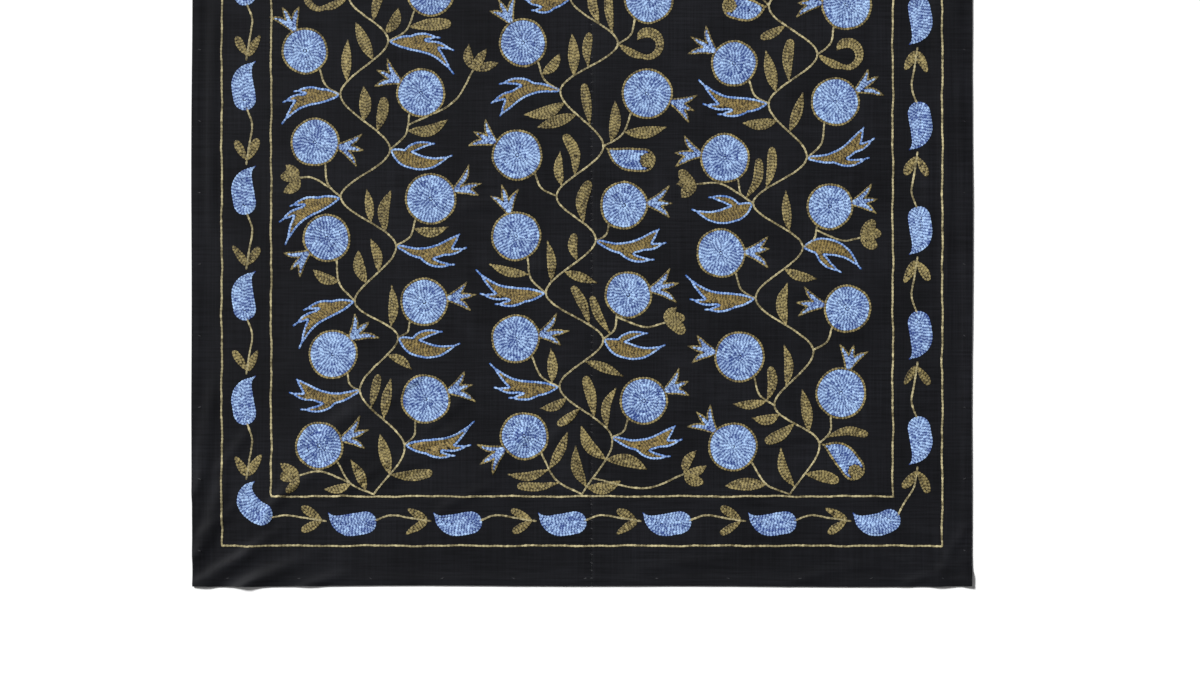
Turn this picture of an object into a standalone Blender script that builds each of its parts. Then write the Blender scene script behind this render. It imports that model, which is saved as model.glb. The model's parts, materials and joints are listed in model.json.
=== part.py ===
"""A suzani hanging: two loom-width lengths of black silk joined down the middle, laid face up.

X runs across the cloth, Y up its length and Z out of its face. The origin is on the surface that
the cloth lies on, under the middle of its outline.
"""

import math
from collections import namedtuple

import bmesh
import bpy
import numpy as np

# Driving sizes, in metres.
WIDTH = 1.200
LENGTH = 1.800
SEAM_X = 0.015  # the left length of cloth is the wider of the two
SEAM_GAP = 0.0003
CLOTH_THICKNESS = 0.0012
HEM_THICKNESS = 0.0020  # the edge is turned under once, so it lies thicker
HEM_WIDTH = 0.012
CELL = 0.011  # spacing of the sheet's grid
FLAT_ANGLE = math.radians(0.12)  # neighbouring cells flatter than this become one face
EDGE_WAVER = 0.0012  # how far the hand-cut outline and the seam stray from straight

# Each fold is a low rounded ridge. Its crest runs from (x0, y0) to (x1, y1) and bends aside by bow.
# rise is its height, reach is how far its flanks spread, and a fold that leaves the cloth starts
# outside the edge, so that it is still at full height there.
Fold = namedtuple("Fold", "x0 y0 x1 y1 bow rise reach")

LOWER_LEFT_CORNER = (
    Fold(-0.625, -0.935, -0.470, -0.825, 0.006, 0.0034, 0.016),
    Fold(-0.590, -0.940, -0.390, -0.850, 0.008, 0.0026, 0.018),
    Fold(-0.605, -0.880, -0.545, -0.700, -0.008, 0.0032, 0.017),
    Fold(-0.590, -0.790, -0.560, -0.560, 0.004, 0.0022, 0.016),
    Fold(-0.500, -0.815, -0.445, -0.735, 0.000, 0.0020, 0.015),
)
LOWER_RIGHT_CORNER = (
    Fold(0.530, -0.825, 0.620, -0.935, 0.008, 0.0036, 0.016),
    Fold(0.430, -0.835, 0.590, -0.925, 0.010, 0.0026, 0.018),
    Fold(0.400, -0.800, 0.560, -0.835, 0.004, 0.0020, 0.016),
)
LOWER_FIELD = (
    Fold(-0.330, -0.760, -0.180, -0.680, 0.010, 0.0018, 0.018),
    Fold(-0.420, -0.690, -0.290, -0.600, 0.008, 0.0018, 0.018),
    Fold(-0.170, -0.740, -0.070, -0.640, -0.006, 0.0016, 0.017),
    Fold(0.190, -0.770, 0.330, -0.730, -0.006, 0.0016, 0.017),
)
RIGHT_MARGIN = (
    Fold(0.560, -0.620, 0.568, 0.160, 0.004, 0.0020, 0.015),
    Fold(0.538, -0.480, 0.532, -0.080, 0.003, 0.0016, 0.014),
)
UPPER_END = (
    Fold(0.500, 0.830, 0.620, 0.930, -0.006, 0.0030, 0.017),
    Fold(-0.620, 0.935, -0.520, 0.800, -0.008, 0.0030, 0.017),
    Fold(-0.580, 0.600, -0.566, 0.300, 0.004, 0.0018, 0.016),
    Fold(0.170, 0.620, 0.320, 0.700, 0.008, 0.0016, 0.018),
    Fold(-0.330, 0.420, -0.200, 0.360, 0.006, 0.0016, 0.018),
)
FOLDS = LOWER_LEFT_CORNER + LOWER_RIGHT_CORNER + LOWER_FIELD + RIGHT_MARGIN + UPPER_END
FOLD_FADE = 0.3  # share of a fold's length over which each end dies away

SILK_BLACK = (0.012, 0.012, 0.014, 1.0)
SILK_ROUGHNESS = 0.62


def fold_height(fold, x, y):
    """Height of one fold over the flat cloth at (x, y)."""
    run_x = fold.x1 - fold.x0
    run_y = fold.y1 - fold.y0
    length = math.hypot(run_x, run_y)
    along = ((x - fold.x0) * run_x + (y - fold.y0) * run_y) / length**2
    crest = 4.0 * fold.bow * along * (1.0 - along)
    across = ((y - fold.y0) * run_x - (x - fold.x0) * run_y) / length - crest
    ends = min(max(min(along, 1.0 - along) / FOLD_FADE, 0.0), 1.0)
    flank = max(1.0 - (across / fold.reach) ** 2, 0.0)
    return fold.rise * ends**2 * (3.0 - 2.0 * ends) * flank**2


def cloth_height(x, y):
    """Height of the cloth's underside: zero wherever no fold passes, so the cloth lies flat."""
    return sum(fold_height(fold, x, y) for fold in FOLDS)


def waver(t, turn):
    """A slow, uneven wander between -1 and 1 along an edge."""
    return 0.6 * math.sin(5.3 * t + turn) + 0.4 * math.sin(13.7 * t + 2.1 * turn)


def grid_lines(low, high, hem_low, hem_high):
    """Grid coordinates from low to high, with a line at the inner side of each hemmed end."""
    inner_low = low + HEM_WIDTH if hem_low else low
    inner_high = high - HEM_WIDTH if hem_high else high
    count = round((inner_high - inner_low) / CELL) + 1
    lines = list(np.linspace(inner_low, inner_high, count))
    if hem_low:
        lines.insert(0, low)
    if hem_high:
        lines.append(high)
    return lines


def strayed(x, y, edge_x, edge_turn, seam_x):
    """Where the grid point (x, y) lies once the side edge, the ends and the seam stray a little."""
    toward_edge = (x - seam_x) / (edge_x - seam_x)
    side = toward_edge * waver(y, edge_turn) + (1.0 - toward_edge) * waver(y, 4.0)
    toward_end = abs(y) / (LENGTH / 2)
    end = toward_end**4 * waver(x, 1.0 if y > 0 else 2.5)
    return x + EDGE_WAVER * side, y + EDGE_WAVER * end


def silk_material(name):
    material = bpy.data.materials.new(name)
    material.use_nodes = True
    surface = material.node_tree.nodes["Principled BSDF"]
    surface.inputs["Base Color"].default_value = SILK_BLACK
    surface.inputs["Roughness"].default_value = SILK_ROUGHNESS
    return material


def add_panel(name, edge_x, edge_turn, seam_x, collection):
    """One length of cloth between its side hem at edge_x and the seam."""
    hem_on_left = edge_x < seam_x
    columns = grid_lines(min(edge_x, seam_x), max(edge_x, seam_x), hem_on_left, not hem_on_left)
    rows = grid_lines(-LENGTH / 2, LENGTH / 2, True, True)
    mesh = bpy.data.meshes.new(name)
    sheet = bmesh.new()
    bmesh.ops.create_grid(sheet, x_segments=len(columns) - 1, y_segments=len(rows) - 1, size=1.0)
    on_hem = []
    for vertex in sheet.verts:
        column = round((vertex.co.x + 1.0) / 2.0 * (len(columns) - 1))
        row = round((vertex.co.y + 1.0) / 2.0 * (len(rows) - 1))
        x, y = strayed(columns[column], rows[row], edge_x, edge_turn, seam_x)
        vertex.co = (x, y, cloth_height(x, y))
        in_field = HEM_WIDTH * 0.9 < abs(columns[column] - edge_x) and 0 < row < len(rows) - 1
        on_hem.append(not in_field)
    sheet.to_mesh(mesh)
    sheet.free()

    panel = bpy.data.objects.new(name, mesh)
    collection.objects.link(panel)
    mesh.materials.append(silk_material(name + "_silk"))
    hem = panel.vertex_groups.new(name="hem")
    hem.add([index for index, inside in enumerate(on_hem) if inside], 1.0, "REPLACE")

    thicken = panel.modifiers.new("Cloth thickness", "SOLIDIFY")
    thicken.thickness = HEM_THICKNESS
    thicken.offset = 1.0
    thicken.vertex_group = hem.name
    thicken.thickness_vertex_group = CLOTH_THICKNESS / HEM_THICKNESS

    flatten = panel.modifiers.new("Join flat cells", "DECIMATE")
    flatten.decimate_type = "DISSOLVE"
    flatten.angle_limit = FLAT_ANGLE
    return panel


def main():
    for old in list(bpy.data.objects):
        bpy.data.objects.remove(old, do_unlink=True)
    suzani = bpy.data.collections.new("Suzani")
    bpy.context.scene.collection.children.link(suzani)
    add_panel("panel_left", -WIDTH / 2, 0.7, SEAM_X - SEAM_GAP / 2, suzani)
    add_panel("panel_right", WIDTH / 2, 3.1, SEAM_X + SEAM_GAP / 2, suzani)


main()
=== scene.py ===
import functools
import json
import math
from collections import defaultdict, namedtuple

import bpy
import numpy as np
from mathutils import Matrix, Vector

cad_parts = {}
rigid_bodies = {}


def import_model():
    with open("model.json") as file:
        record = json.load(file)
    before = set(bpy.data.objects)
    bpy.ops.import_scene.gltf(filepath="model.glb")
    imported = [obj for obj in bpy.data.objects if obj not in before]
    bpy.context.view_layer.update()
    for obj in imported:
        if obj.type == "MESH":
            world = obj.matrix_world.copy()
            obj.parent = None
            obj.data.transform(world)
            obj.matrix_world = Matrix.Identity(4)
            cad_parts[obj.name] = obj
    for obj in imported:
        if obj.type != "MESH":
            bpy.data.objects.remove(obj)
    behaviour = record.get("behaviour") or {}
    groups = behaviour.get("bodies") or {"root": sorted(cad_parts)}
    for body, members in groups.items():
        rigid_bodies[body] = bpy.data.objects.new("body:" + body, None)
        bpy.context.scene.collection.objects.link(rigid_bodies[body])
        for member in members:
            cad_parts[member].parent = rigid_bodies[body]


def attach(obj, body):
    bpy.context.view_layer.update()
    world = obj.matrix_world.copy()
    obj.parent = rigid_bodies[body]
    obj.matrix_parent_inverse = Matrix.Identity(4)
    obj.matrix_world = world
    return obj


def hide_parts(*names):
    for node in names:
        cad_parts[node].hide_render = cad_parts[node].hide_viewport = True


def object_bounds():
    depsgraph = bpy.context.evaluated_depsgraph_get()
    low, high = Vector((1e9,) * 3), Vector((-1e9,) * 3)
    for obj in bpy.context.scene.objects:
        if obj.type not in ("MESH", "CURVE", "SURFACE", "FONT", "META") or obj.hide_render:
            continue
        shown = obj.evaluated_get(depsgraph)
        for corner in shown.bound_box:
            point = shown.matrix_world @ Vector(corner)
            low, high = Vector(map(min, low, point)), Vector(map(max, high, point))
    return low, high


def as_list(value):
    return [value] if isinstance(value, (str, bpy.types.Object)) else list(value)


bl_info = {
    "name": "Suzani Hanging",
    "version": (1, 0, 0),
    "blender": (4, 5, 0),
    "location": "3D Viewport > Sidebar > Suzani",
    "description": "Two lengths of black silk with a chain-stitched garden of pomegranates",
    "category": "Object",
}

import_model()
CAD_LOW, CAD_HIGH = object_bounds()

# ---------------------------------------------------------------------------------------------
# Sizes of the cloth, in metres
# ---------------------------------------------------------------------------------------------
CM = 0.01
WIDTH = round(CAD_HIGH.x - CAD_LOW.x, 2)
LENGTH = round(CAD_HIGH.y - CAD_LOW.y, 2)
SEAM_X = 0.015
SEAM_GAP = 0.0003
CLOTH_THICKNESS = 0.0010
HEM_THICKNESS = 0.0018  # the edge is turned under once
HEM_WIDTH = 0.012
HEM_SHOULDER = 0.005  # width of the slope from the hem down to the single cloth
SEAM_DIP = 0.0005  # how far the cloth is drawn down along the seam
SEAM_DIP_WIDTH = 0.006
CELL = 0.0072
EDGE_WAVER = 0.0012

# A fold is a low rounded ridge. Its crest runs from (x0, y0) to (x1, y1) and bends aside by bow.
# rise is its height, reach is how far its flanks spread, and a fold that leaves the cloth starts
# outside the edge, so that it is still at full height there.
Fold = namedtuple("Fold", "x0 y0 x1 y1 bow rise reach")
FOLD_FADE = 0.3

LOWER_LEFT_CORNER = (
    Fold(-0.625, -0.935, -0.470, -0.825, 0.006, 0.0034, 0.016),
    Fold(-0.590, -0.940, -0.390, -0.850, 0.008, 0.0026, 0.018),
    Fold(-0.605, -0.880, -0.545, -0.700, -0.008, 0.0032, 0.017),
    Fold(-0.590, -0.790, -0.560, -0.560, 0.004, 0.0022, 0.016),
    Fold(-0.500, -0.815, -0.445, -0.735, 0.000, 0.0020, 0.015),
)
LOWER_RIGHT_CORNER = (
    Fold(0.530, -0.825, 0.620, -0.935, 0.008, 0.0036, 0.016),
    Fold(0.430, -0.835, 0.590, -0.925, 0.010, 0.0026, 0.018),
    Fold(0.400, -0.800, 0.560, -0.835, 0.004, 0.0020, 0.016),
)
LOWER_FIELD = (
    Fold(-0.330, -0.760, -0.180, -0.680, 0.010, 0.0018, 0.018),
    Fold(-0.420, -0.690, -0.290, -0.600, 0.008, 0.0018, 0.018),
    Fold(-0.170, -0.740, -0.070, -0.640, -0.006, 0.0016, 0.017),
    Fold(0.190, -0.770, 0.330, -0.730, -0.006, 0.0016, 0.017),
)
RIGHT_MARGIN = (
    Fold(0.560, -0.620, 0.568, 0.160, 0.004, 0.0020, 0.015),
    Fold(0.538, -0.480, 0.532, -0.080, 0.003, 0.0016, 0.014),
)
UPPER_END = (
    Fold(0.500, 0.830, 0.620, 0.930, -0.006, 0.0030, 0.017),
    Fold(-0.620, 0.935, -0.520, 0.800, -0.008, 0.0030, 0.017),
    Fold(-0.580, 0.600, -0.566, 0.300, 0.004, 0.0018, 0.016),
    Fold(0.170, 0.620, 0.320, 0.700, 0.008, 0.0016, 0.018),
    Fold(-0.330, 0.420, -0.200, 0.360, 0.006, 0.0016, 0.018),
)
# Finer creases and puckers, which only the looks need.
CREASES = (
    Fold(-0.615, -0.905, -0.500, -0.850, 0.004, 0.0021, 0.009),
    Fold(-0.560, -0.925, -0.440, -0.868, 0.005, 0.0021, 0.010),
    Fold(-0.480, -0.925, -0.330, -0.872, 0.005, 0.0018, 0.010),
    Fold(-0.600, -0.830, -0.520, -0.760, -0.005, 0.0021, 0.010),
    Fold(-0.580, -0.740, -0.500, -0.640, -0.006, 0.0018, 0.010),
    Fold(-0.450, -0.760, -0.340, -0.690, 0.006, 0.0018, 0.010),
    Fold(-0.300, -0.720, -0.160, -0.650, 0.008, 0.0018, 0.010),
    Fold(-0.240, -0.800, -0.120, -0.740, 0.006, 0.0018, 0.010),
    Fold(-0.060, -0.700, 0.010, -0.610, 0.004, 0.0016, 0.009),
    Fold(-0.200, -0.320, -0.130, -0.318, 0.002, 0.0016, 0.009),
    Fold(-0.100, -0.414, -0.030, -0.412, 0.002, 0.0016, 0.009),
    Fold(0.060, -0.880, 0.250, -0.858, 0.004, 0.0016, 0.010),
    Fold(0.300, -0.900, 0.480, -0.865, 0.006, 0.0018, 0.010),
    Fold(0.480, -0.905, 0.610, -0.862, 0.005, 0.0021, 0.009),
    Fold(0.545, -0.900, 0.600, -0.800, 0.006, 0.0021, 0.009),
    Fold(0.250, -0.690, 0.400, -0.660, 0.005, 0.0015, 0.010),
    Fold(0.585, -0.420, 0.580, 0.300, 0.003, 0.0021, 0.009),
    Fold(0.548, -0.260, 0.552, 0.420, 0.003, 0.0018, 0.009),
    Fold(-0.570, -0.420, -0.562, 0.050, 0.004, 0.0018, 0.010),
    Fold(-0.560, -0.930, -0.478, -0.874, 0.004, 0.0016, 0.008),
    Fold(-0.612, -0.870, -0.548, -0.790, -0.004, 0.0016, 0.008),
    Fold(-0.620, -0.800, -0.572, -0.690, -0.005, 0.0015, 0.008),
    Fold(-0.540, -0.870, -0.440, -0.800, 0.005, 0.0014, 0.008),
    Fold(-0.500, -0.800, -0.410, -0.720, 0.005, 0.0014, 0.008),
    Fold(-0.390, -0.780, -0.280, -0.700, 0.006, 0.0014, 0.009),
    Fold(-0.260, -0.690, -0.150, -0.590, 0.007, 0.0015, 0.010),
    Fold(-0.320, -0.640, -0.220, -0.560, 0.006, 0.0014, 0.009),
    Fold(0.470, -0.850, 0.560, -0.910, 0.005, 0.0016, 0.008),
    Fold(0.560, -0.850, 0.612, -0.900, 0.004, 0.0016, 0.008),
)
FOLDS = LOWER_LEFT_CORNER + LOWER_RIGHT_CORNER + LOWER_FIELD + RIGHT_MARGIN + UPPER_END + CREASES

# Slow waves that keep the cloth from lying dead flat: direction in degrees, wavelength, height.
Swell = namedtuple("Swell", "heading wavelength height")
SWELLS = (
    Swell(8, 0.310, 0.00012),
    Swell(64, 0.197, 0.00010),
    Swell(112, 0.143, 0.00008),
    Swell(151, 0.089, 0.00006),
    Swell(38, 0.071, 0.00005),
)

# ---------------------------------------------------------------------------------------------
# The drawing, in centimetres: x from the middle of the cloth, y up from its lower edge
# ---------------------------------------------------------------------------------------------
HALF_WIDTH = WIDTH / CM / 2
HEAD = LENGTH / CM
OUTER_SIDE, INNER_SIDE = 4.6, 12.2  # how far the two frame lines lie inside the long edges
OUTER_END, INNER_END = 6.2, 13.8  # and inside the short ones
FIELD_SIDE = HALF_WIDTH - INNER_SIDE
FIELD_FOOT = INNER_END
FIELD_HEAD = HEAD - INNER_END

# How a blade's half width goes along its midline: its share at the base, where it is fullest, its
# share at the tip, and how slowly it swells and how fast it thins (1 is a plain round curve).
Form = namedtuple("Form", "base peak tip swell thin", defaults=(1.0, 1.0))
POINTED = Form(0.12, 0.45, 0.0)
TAPERED = Form(0.20, 0.28, 0.0, 1.0, 1.35)
CLUB = Form(0.15, 0.70, 0.75)
HOOK = Form(0.35, 0.62, 0.0)
CURL = Form(0.50, 0.80, 0.0, 1.5)
COMMA = Form(0.0, 0.72, 1.0, 1.5)
PETAL = Form(0.50, 0.50, 0.10)
ARROW = Form(0.75, 0.30, 0.35)
ROUND = Form(1.0, 0.50, 1.0)

# A blade is a smooth midline through a few points, base first, and the width of its fullest part.
# A motif is one blade, or several that grow into one shape.
Blade = namedtuple("Blade", "width form path")
Fruit = namedtuple("Fruit", "x y radius crown")  # crown: the way it points, in degrees
Tendril = namedtuple("Tendril", "stem x y turns")  # a row that curls up round (x, y)
Bud = namedtuple("Bud", "body cap")  # cap: middle and radius of the gold round near its tip


def curl(x, y, radius, end_radius, start, sweep):
    """Points round (x, y) from the angle start through sweep, both in degrees, as the radius goes over."""
    count = max(4, round(abs(sweep) / 40))
    turn = [math.radians(start + sweep * k / count) for k in range(count + 1)]
    reach = [radius + (end_radius - radius) * k / count for k in range(count + 1)]
    return tuple((x + r * math.cos(a), y + r * math.sin(a)) for a, r in zip(turn, reach))


# The motifs grow from (0, 0) along x.
PLUMES = (
    (
        Blade(2.4, TAPERED, ((0.0, 0.0), (3.2, 0.9), (6.6, 0.8), (10.4, -1.4))),
        Blade(1.5, TAPERED, ((2.2, 0.9), (4.4, 2.3), (6.9, 3.0))),
        Blade(1.3, TAPERED, ((4.4, 1.1), (6.8, 1.9), (9.2, 1.9))),
    ),
    (
        Blade(2.1, HOOK, ((0.0, 0.0), (3.2, -0.7), (6.2, 0.1), (8.6, 2.6))),
        Blade(1.4, TAPERED, ((3.0, -0.8), (5.8, -1.9), (8.8, -1.7))),
        Blade(1.3, TAPERED, ((5.4, -0.2), (7.8, 0.0), (10.0, 0.9))),
    ),
    (
        Blade(2.7, TAPERED, ((0.0, 0.0), (2.6, 1.1), (5.6, 1.3), (8.8, -0.2))),
        Blade(1.4, TAPERED, ((1.8, 0.2), (4.0, -1.0), (6.4, -1.5))),
    ),
)
SCROLLS = (
    (
        Blade(1.3, HOOK, ((0.0, 0.0), (2.2, -0.5), (4.2, -0.4))),
        Blade(1.6, CURL, curl(3.8, 1.4, 1.9, 1.5, -110, 290)),
    ),
    (
        Blade(1.5, CURL, curl(3.0, 1.5, 1.9, 1.5, -150, 260)),
        Blade(1.7, POINTED, ((1.3, 0.6), (3.6, -1.2), (6.6, -1.0))),
        Blade(1.3, HOOK, ((0.0, 0.0), (1.0, 0.2), (2.4, 0.2))),
    ),
)
BUD = Bud(Blade(3.7, COMMA, ((0.0, 0.0), (3.4, 1.5), (8.2, 1.3))), (6.9, 1.4, 1.15))
PETALS = 5
FLOWER = tuple(
    Blade(2.1, ROUND, ((3.4, 0.0), curl(3.4, 0.0, 3.1, 3.1, 0, 360 * k / PETALS)[-1]))
    for k in range(PETALS)
)
TENDRIL = Tendril(((0.0, 0.0), (2.0, 0.8), (3.4, 0.5)), 3.6, -0.8, -1.2)

# The border chain: a comma-shaped buta, a stem and a sprig of two leaves, over and over.
BUTA = Blade(3.5, COMMA, ((-4.2, 1.5), (-3.0, 0.1), (-1.2, -0.6), (0.8, -0.4), (3.4, 0.1)))
CHAIN_STEM = ((3.2, 0.1), (5.6, 0.9), (8.4, 0.5), (10.9, 0.1), (11.7, 0.0))
SPRIG_APEX = (10.9, 0.1)
SPRIG_LEAN = 32.0
UNIT_LENGTH = 16.1
BORDER_STEP = 0.1
CORNER_RADIUS = 6.0

# The garden: three vines that sway from side to side as they climb, with a fruit in each hollow.
VINES = (-32.0, 0.0, 32.0)
LEVELS = 19
SWAY = 3.6
FRUIT_ASIDE = 8.4
FRUIT_RADIUS = (3.55, 4.0)
STRAY = 1.7  # how far a fruit or a bend strays from its even place
LEAF_STEP = 2.6
LEAF_GAP = 0.38
MOTIF_GAP = 0.35
BARE_PLACE = 2.7  # clear distance round a spot that calls for one more motif

CROWN_PETAL = 4.1
CROWN_SPREAD = 37.0

BASE_SHARE = 0.3  # share of a blade that may touch what it grows from
BUD_CHANCE = 0.24
PLUME_CHANCE = 0.70  # of the bends with no bud; the others take a scroll
SIDE_LEANS = (-12, 6, 20, 34, 50, 66)  # of a side motif, away from the fruit's stem, in degrees
MOTIF_SIZES = (1.12, 1.0, 0.86, 0.72)
LEAF_LENGTHS = (6.6, 5.4, 4.4, 3.5)

TACK_HEIGHT = 1.2
TACK_STEP = 11.0

# ---------------------------------------------------------------------------------------------
# Settings that a user would change
# ---------------------------------------------------------------------------------------------
SEED = 11
GRAIN = 0.0011  # spacing of the grid on which the rows of a filled shape are traced
DISC_STEP = 0.0014  # spacing of the discs that a blade is made of
SHORTEST_ROW = 0.006
BARE_STRIP = 0.42  # share of a row's width left between two rows that calls for one more
THIN_TIP = 0.05  # a tip thinner than one row is still stitched down to this share of it
BARE_SPOT = 0.52  # distance to the nearest row, in rows, that calls for a single stitch
OUTLINE_SHARE = 0.86  # how wide an outline is worked, against the rows inside it
TIP_SHARE = 0.72


def thread_colour(red, green, blue):
    """Linear colour of a thread, lit or shaded, from its everyday 0 to 255 colour."""
    return tuple((c / 12.92 if c <= 0.04045 else ((c + 0.055) / 1.055) ** 2.4)
                 for c in (red / 255, green / 255, blue / 255))


def length_setting(name, description, default):
    return bpy.props.FloatProperty(
        name=name, description=description, default=default, min=0.0, unit="LENGTH", precision=5
    )


def colour_setting(name, description, default):
    return bpy.props.FloatVectorProperty(
        name=name, description=description, default=default, size=3, min=0.0, max=1.0,
        subtype="COLOR",
    )


class SUZANI_PG_stitches(bpy.types.PropertyGroup):
    fill_pitch: length_setting("Fill stitch", "Length of a chain stitch in a filled shape", 0.0048)
    row_spacing: length_setting("Row spacing", "Distance between filled rows", 0.0036)
    fill_width: length_setting("Fill width", "Width of a chain in a filled shape", 0.0043)
    line_pitch: length_setting("Line stitch", "Length of a chain stitch in a stem or line", 0.0054)
    line_width: length_setting("Line width", "Width of a chain in a stem or line", 0.0032)
    relief: length_setting("Relief", "How far the thread stands out of the cloth", 0.0011)


class SUZANI_PG_colours(bpy.types.PropertyGroup):
    silk: colour_setting("Silk", "The black ground", (0.0068, 0.0071, 0.0090))
    # Each thread has a shaded and a lit colour. A stitch mixes them by its random tone, with painted shade
    # at the ends and edges of each strand and painted highlight along its middle and crest.
    blue_dark: colour_setting("Blue, shaded", "Blue thread where it dips", thread_colour(20, 52, 124))
    blue_light: colour_setting("Blue, lit", "Blue thread at its fullest", thread_colour(180, 212, 250))
    pale_dark: colour_setting("Pale blue, shaded", "Outlines of the plumes", thread_colour(56, 98, 168))
    pale_light: colour_setting("Pale blue, lit", "Outlines of the plumes", thread_colour(176, 206, 244))
    gold_dark: colour_setting("Gold, shaded", "Leaves and outlines", thread_colour(52, 42, 12))
    gold_light: colour_setting("Gold, lit", "Leaves and outlines", thread_colour(170, 154, 100))
    brown_dark: colour_setting("Brown, shaded", "Inside the plumes", thread_colour(52, 40, 12))
    brown_light: colour_setting("Brown, lit", "Inside the plumes", thread_colour(158, 136, 78))
    line_dark: colour_setting("Straw, shaded", "Stems and frame lines", thread_colour(76, 66, 34))
    line_light: colour_setting("Straw, lit", "Stems and frame lines", thread_colour(208, 196, 150))
    sewing: colour_setting("Sewing thread, lit", "Seam and hem", thread_colour(70, 70, 76))


class SUZANI_PG_light(bpy.types.PropertyGroup):
    key: bpy.props.FloatProperty(name="Key light", description="Strength", default=5.4)
    fill: bpy.props.FloatProperty(name="Fill light", description="Strength", default=0.25)
    sky: bpy.props.FloatProperty(name="Sky", description="Even light from all round", default=0.12)
    lens: bpy.props.FloatProperty(
        name="Lens", description="Focal length in millimetres", default=85.0, unit="CAMERA"
    )


# ---------------------------------------------------------------------------------------------
# The lie of the cloth
# ---------------------------------------------------------------------------------------------
def fold_height(fold, x, y):
    """Height of one fold over the flat cloth at (x, y), which may be arrays."""
    run_x = fold.x1 - fold.x0
    run_y = fold.y1 - fold.y0
    length = math.hypot(run_x, run_y)
    along = ((x - fold.x0) * run_x + (y - fold.y0) * run_y) / length**2
    crest = 4.0 * fold.bow * along * (1.0 - along)
    across = ((y - fold.y0) * run_x - (x - fold.x0) * run_y) / length - crest
    ends = np.clip(np.minimum(along, 1.0 - along) / FOLD_FADE, 0.0, 1.0)
    flank = np.maximum(1.0 - (across / fold.reach) ** 2, 0.0)
    return fold.rise * ends**2 * (3.0 - 2.0 * ends) * flank**2


def swell_height(swell, x, y):
    """A long low wave that never goes below zero."""
    turn = math.radians(swell.heading)
    phase = (x * math.cos(turn) + y * math.sin(turn)) * 2.0 * math.pi / swell.wavelength
    bend = 0.8 * np.sin(2.3 * phase / math.pi + swell.heading)
    return swell.height * (1.0 + np.sin(phase + bend + swell.heading))


def underside(x, y):
    """Height of the cloth's underside at (x, y)."""
    return (sum(fold_height(fold, x, y) for fold in FOLDS)
            + sum(swell_height(swell, x, y) for swell in SWELLS))


def smooth_step(low, high, value):
    share = np.clip((value - low) / (high - low), 0.0, 1.0)
    return share * share * (3.0 - 2.0 * share)


def thickness(x, y):
    """Thickness of the cloth: single, fuller at the hems and drawn down along the seam."""
    to_edge = np.minimum(WIDTH / 2 - np.abs(x), LENGTH / 2 - np.abs(y))
    hem = 1.0 - smooth_step(HEM_WIDTH, HEM_WIDTH + HEM_SHOULDER, to_edge)
    seam = 1.0 - smooth_step(0.0, SEAM_DIP_WIDTH, np.abs(x - SEAM_X))
    return CLOTH_THICKNESS + (HEM_THICKNESS - CLOTH_THICKNESS) * hem - SEAM_DIP * seam * (1.0 - hem)


def face_height(x, y):
    """Height of the cloth's face at (x, y)."""
    return underside(x, y) + thickness(x, y)


def face_normals(x, y):
    reach = 0.002
    slope_x = (face_height(x + reach, y) - face_height(x - reach, y)) / (2 * reach)
    slope_y = (face_height(x, y + reach) - face_height(x, y - reach)) / (2 * reach)
    normal = np.column_stack([-slope_x, -slope_y, np.ones_like(slope_x)])
    return normal / np.linalg.norm(normal, axis=1)[:, None]


def waver(t, turn):
    """A slow, uneven wander between -1 and 1 along an edge."""
    return 0.6 * np.sin(5.3 * t + turn) + 0.4 * np.sin(13.7 * t + 2.1 * turn)


def grid_lines(low, high, close_low, close_high):
    """Grid coordinates from low to high, closer together at the ends that are close_low or close_high."""
    near = np.array([0.0, 0.0015, 0.004, 0.008, HEM_WIDTH, HEM_WIDTH + HEM_SHOULDER])
    start = low + near if close_low else np.array([low, low + 0.0015, low + 0.0035])
    end = (high - near if close_high else np.array([high, high - 0.0015, high - 0.0035]))[::-1]
    count = round((end[0] - start[-1]) / CELL)
    return np.concatenate([start, np.linspace(start[-1], end[0], count + 1)[1:-1], end])


def panel_mesh(name, edge_x, edge_turn, seam_x):
    """The face of one length of silk, as a grid whose outline strays a little from straight."""
    hem_on_left = edge_x < seam_x
    columns = grid_lines(min(edge_x, seam_x), max(edge_x, seam_x), hem_on_left, not hem_on_left)
    rows = grid_lines(-LENGTH / 2, LENGTH / 2, True, True)
    x, y = (grid.ravel() for grid in np.meshgrid(columns, rows))
    toward_edge = (x - seam_x) / (edge_x - seam_x)
    side = toward_edge * waver(y, edge_turn) + (1.0 - toward_edge) * waver(y, 4.0)
    end = (np.abs(y) / (LENGTH / 2)) ** 4 * waver(x, np.where(y > 0, 1.0, 2.5))
    thick = thickness(x, y)
    x = x + EDGE_WAVER * side
    y = y + EDGE_WAVER * end
    corner = np.arange(len(rows) - 1)[:, None] * len(columns) + np.arange(len(columns) - 1)
    corner = corner.ravel()
    faces = np.column_stack([corner, corner + 1, corner + 1 + len(columns), corner + len(columns)])
    mesh = bpy.data.meshes.new(name)
    mesh.from_pydata(np.column_stack([x, y, underside(x, y)]).tolist(), [], faces.tolist())
    return mesh, thick


# ---------------------------------------------------------------------------------------------
# From the drawing to rows of stitches
# ---------------------------------------------------------------------------------------------
Row = namedtuple("Row", "path closed thread tone share", defaults=(1.0,))  # share of full width
GOLD, BLUE, PALE, BROWN, STRAW = "gold", "blue", "pale_blue", "brown", "straw"


def on_cloth(points):
    """Points of the drawing, in centimetres, as metres on the cloth."""
    points = np.asarray(points, dtype=float)
    return points * CM - np.array([0.0, LENGTH / 2])


def drawn(path):
    """Points on the cloth, in metres, as points of the drawing."""
    return (path + np.array([0.0, LENGTH / 2])) / CM


def moved(motif, place):
    """The motif with every point of its midlines put through place."""
    return tuple(
        blade._replace(path=tuple(place(point) for point in blade.path)) for blade in blades_of(motif)
    )


def blades_of(motif):
    return (motif,) if isinstance(motif, Blade) else motif


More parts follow.
